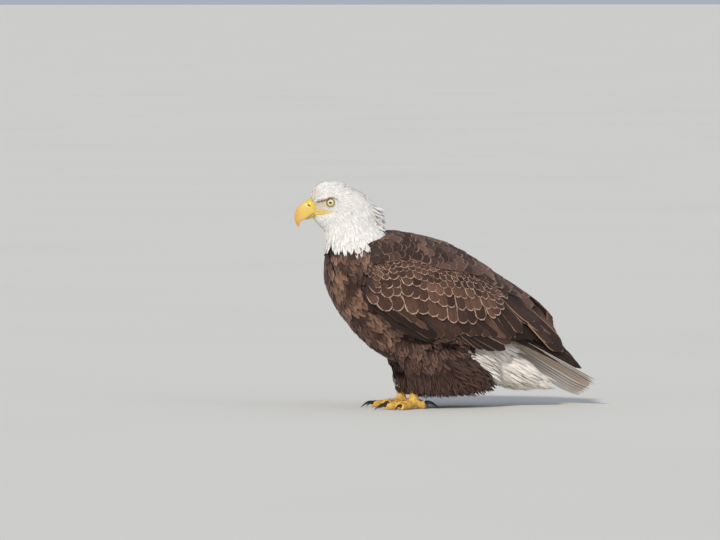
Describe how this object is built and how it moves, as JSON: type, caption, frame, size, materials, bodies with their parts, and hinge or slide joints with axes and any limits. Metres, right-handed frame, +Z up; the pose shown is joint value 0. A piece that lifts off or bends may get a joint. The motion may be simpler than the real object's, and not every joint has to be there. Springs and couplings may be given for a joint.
{
  "type": "bald eagle model",
  "caption": "Life-size still model of an adult bald eagle standing with wings folded and head turned slightly to its right.",
  "frame": {"origin": "on the floor under the middle of the model's bounding box", "axes": "+Z up, -X the way the body faces, +Y the bird's right side"},
  "size_m": [0.6558, 0.2118, 0.4821],
  "materials": {
    "head_plumage": "white feathers over flesh, soft and matte",
    "body_plumage": "dark brown feathers over flesh, soft and matte",
    "wing_plumage": "dark brown feathers with paler edges, soft and matte",
    "tail_plumage": "white feathers, soft and matte",
    "bill_horn": "smooth yellow horn",
    "claw_horn": "smooth black horn",
    "eye_glass": "glossy pale eye with a dark pupil",
    "leg_skin": "scaly yellow skin"
  },
  "bodies": {
    "root": {"bill_lower": "bill_horn", "bill_upper": "bill_horn", "claw_hind_left": "claw_horn", "claw_hind_right": "claw_horn", "claw_inner_left": "claw_horn", "claw_inner_right": "claw_horn", "claw_middle_left": "claw_horn", "claw_middle_right": "claw_horn", "claw_outer_left": "claw_horn", "claw_outer_right": "claw_horn", "eye_left": "eye_glass", "eye_right": "eye_glass", "head": "head_plumage", "neck": "head_plumage", "primaries_left": "wing_plumage", "primaries_right": "wing_plumage", "shank_left": "leg_skin", "shank_right": "leg_skin", "tail": "tail_plumage", "thigh_left": "body_plumage", "thigh_right": "body_plumage", "toe_hind_left": "leg_skin", "toe_hind_right": "leg_skin", "toe_inner_left": "leg_skin", "toe_inner_right": "leg_skin", "toe_middle_left": "leg_skin", "toe_middle_right": "leg_skin", "toe_outer_left": "leg_skin", "toe_outer_right": "leg_skin", "trunk": "body_plumage", "undertail": "tail_plumage", "wing_left": "wing_plumage", "wing_right": "wing_plumage"}
  },
  "joints": []
}
